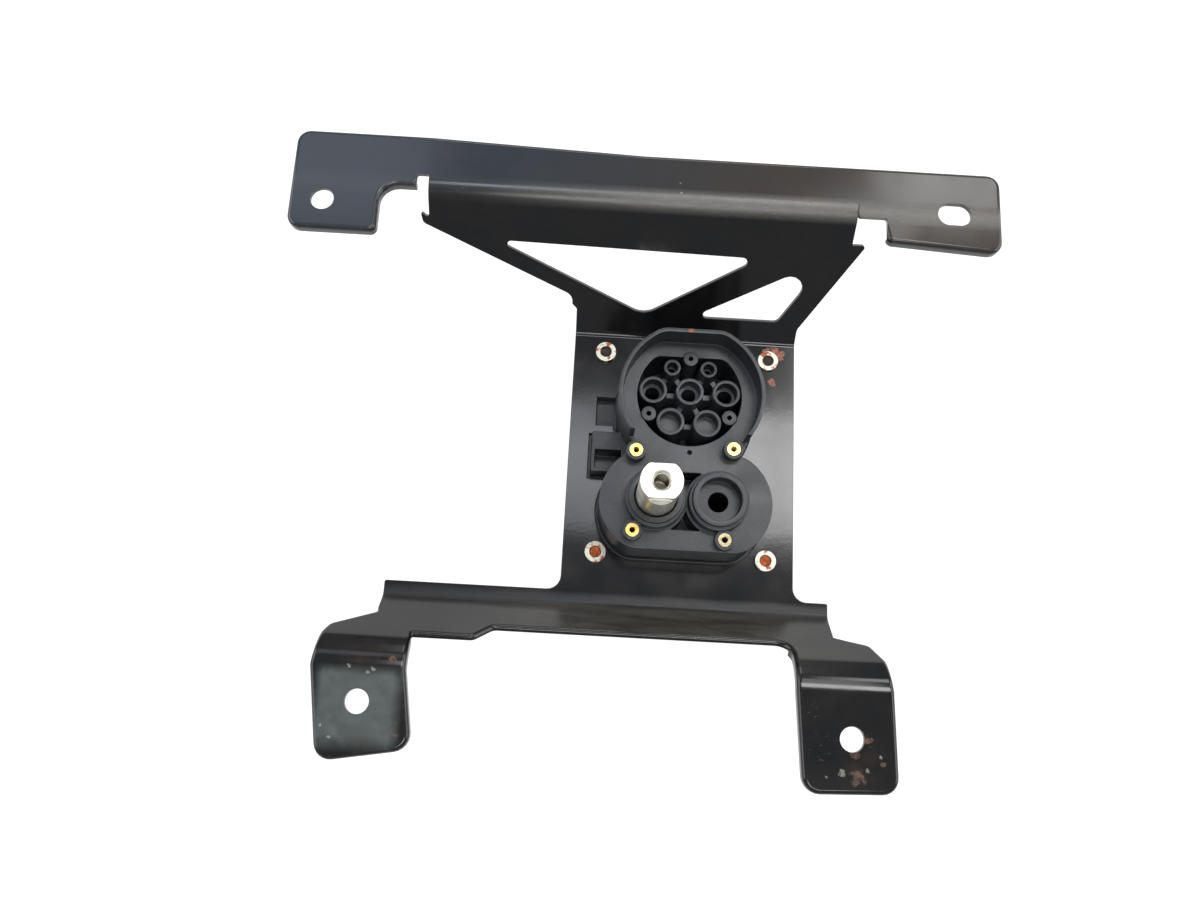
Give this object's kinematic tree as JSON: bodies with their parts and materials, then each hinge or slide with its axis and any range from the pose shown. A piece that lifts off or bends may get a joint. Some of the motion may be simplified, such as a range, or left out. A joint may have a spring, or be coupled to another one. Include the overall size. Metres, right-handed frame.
{
  "type": "charge port inlet",
  "caption": "Vehicle charging inlet seen from behind: black moulded AC and DC socket housing with brass inserts and a DC contact, bolted to a folded black steel bracket with ears and feet.",
  "frame": {"origin": "on the earth contact's axis, in the plane of the socket's front rim", "axes": "+X to the right seen from behind, +Y up the plate to the strap, +Z to the rear, away from the plug"},
  "size_m": [0.311, 0.2694, 0.109],
  "materials": {
    "coated_sheet_steel": "satin black",
    "zinc_plated_steel": "bright, rust in the thread",
    "rusted_steel": "rusty",
    "sleeve_steel": "plain",
    "moulded_plastic": "fine matt, charcoal",
    "turned_brass": "bright",
    "plated_copper": "turned, nickel plated",
    "seal_rubber": "matt",
    "spring_steel": "phosphated",
    "tip_plastic": "matt"
  },
  "bodies": {
    "root": {"bracket": "coated_sheet_steel", "clinch_nuts": "zinc_plated_steel", "flange_bolts": "rusted_steel", "compression_sleeves": "sleeve_steel", "inlet_housing": "moulded_plastic", "brass_inserts": "turned_brass", "dc_terminal": "plated_copper", "dc_o_ring": "seal_rubber", "dc_circlip": "spring_steel", "dc_touch_guard": "tip_plastic"}
  },
  "joints": []
}
